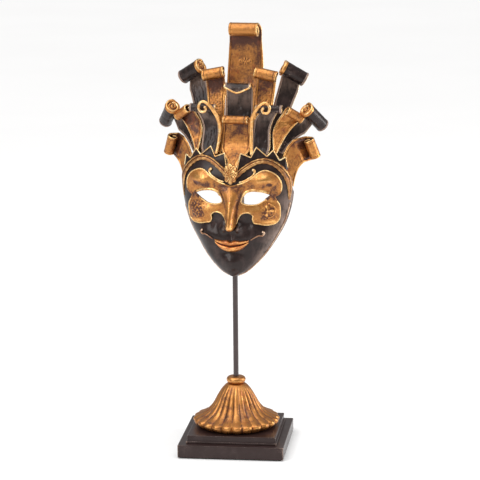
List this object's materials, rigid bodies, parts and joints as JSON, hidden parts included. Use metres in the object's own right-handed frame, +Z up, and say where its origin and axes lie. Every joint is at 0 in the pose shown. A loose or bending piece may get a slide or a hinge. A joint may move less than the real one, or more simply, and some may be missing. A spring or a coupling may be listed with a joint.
{
  "type": "carnival mask on stand",
  "caption": "Carnival face mask with an open back, eye openings and a fan of rolled ribbons, turning on a slim rod over a fluted foot and square plinth.",
  "frame": {"origin": "centre of the underside of the felt pad, on the floor, on the axis of the rod", "axes": "+Z up along the rod, front of the plinth towards -Y, +X to the right seen from the front"},
  "size_m": [0.2065, 0.1302, 0.5096],
  "materials": {
    "gilt_papier_mache": "antiqued gold paint over papier-mache, semi-gloss varnish",
    "black_papier_mache": "satin brown-black paint over papier-mache",
    "black_wood": "satin brown-black paint",
    "gilt_resin": "cast resin with antiqued gold paint",
    "black_steel": "satin black paint, slightly worn",
    "plain_steel": "plain zinc-plated",
    "brass_tube": "drawn tube, dull",
    "nylon": "natural",
    "plain_wood": "unfinished",
    "card": "stiff lining board, painted dark",
    "felt": "pressed felt"
  },
  "bodies": {
    "stand": {"felt_pad": "felt", "plinth": "black_wood", "plinth_slab": "black_wood", "fluted_foot": "gilt_resin", "collar": "gilt_resin", "rod": "black_steel", "foot_washer": "plain_steel", "foot_nut": "plain_steel"},
    "swivel": {"rod_cap": "nylon"},
    "mask": {"socket_tube": "brass_tube", "socket_block": "plain_wood", "mask_shell": "black_papier_mache", "half_mask": "gilt_papier_mache", "lips": "gilt_papier_mache", "crown_panel": "card", "brow_band": "gilt_papier_mache", "rosette": "gilt_papier_mache", "saw_tooth_collar": "black_papier_mache", "brow_scroll_L": "gilt_papier_mache", "brow_scroll_R": "gilt_papier_mache", "cheek_scroll_L": "gilt_papier_mache", "cheek_scroll_R": "gilt_papier_mache", "volute_cord_L": "gilt_papier_mache", "volute_cord_R": "gilt_papier_mache", "crest_ribbon": "gilt_papier_mache", "centre_black_ribbon": "black_papier_mache", "centre_gold_ribbon": "gilt_papier_mache", "inner_gold_ribbon_L": "gilt_papier_mache", "inner_gold_ribbon_R": "gilt_papier_mache", "outer_black_ribbon_L": "black_papier_mache", "outer_black_ribbon_R": "black_papier_mache", "black_panel_ribbon_L": "black_papier_mache", "black_panel_ribbon_R": "black_papier_mache", "leaf_gold_ribbon_L": "gilt_papier_mache", "leaf_gold_ribbon_R": "gilt_papier_mache", "lower_black_ribbon_L": "black_papier_mache", "lower_black_ribbon_R": "black_papier_mache", "low_gold_ribbon_L": "gilt_papier_mache", "low_gold_ribbon_R": "gilt_papier_mache"}
  },
  "joints": [
    {"name": "mask_turn", "type": "hinge", "parent": "stand", "child": "swivel", "pos_m": [0, 0, 0.312], "axis": [0, 0, 1], "continuous": true},
    {"name": "mask_lift", "type": "slide", "parent": "swivel", "child": "mask", "axis": [0, 0, 1], "range_m": [0, 0.07]}
  ]
}
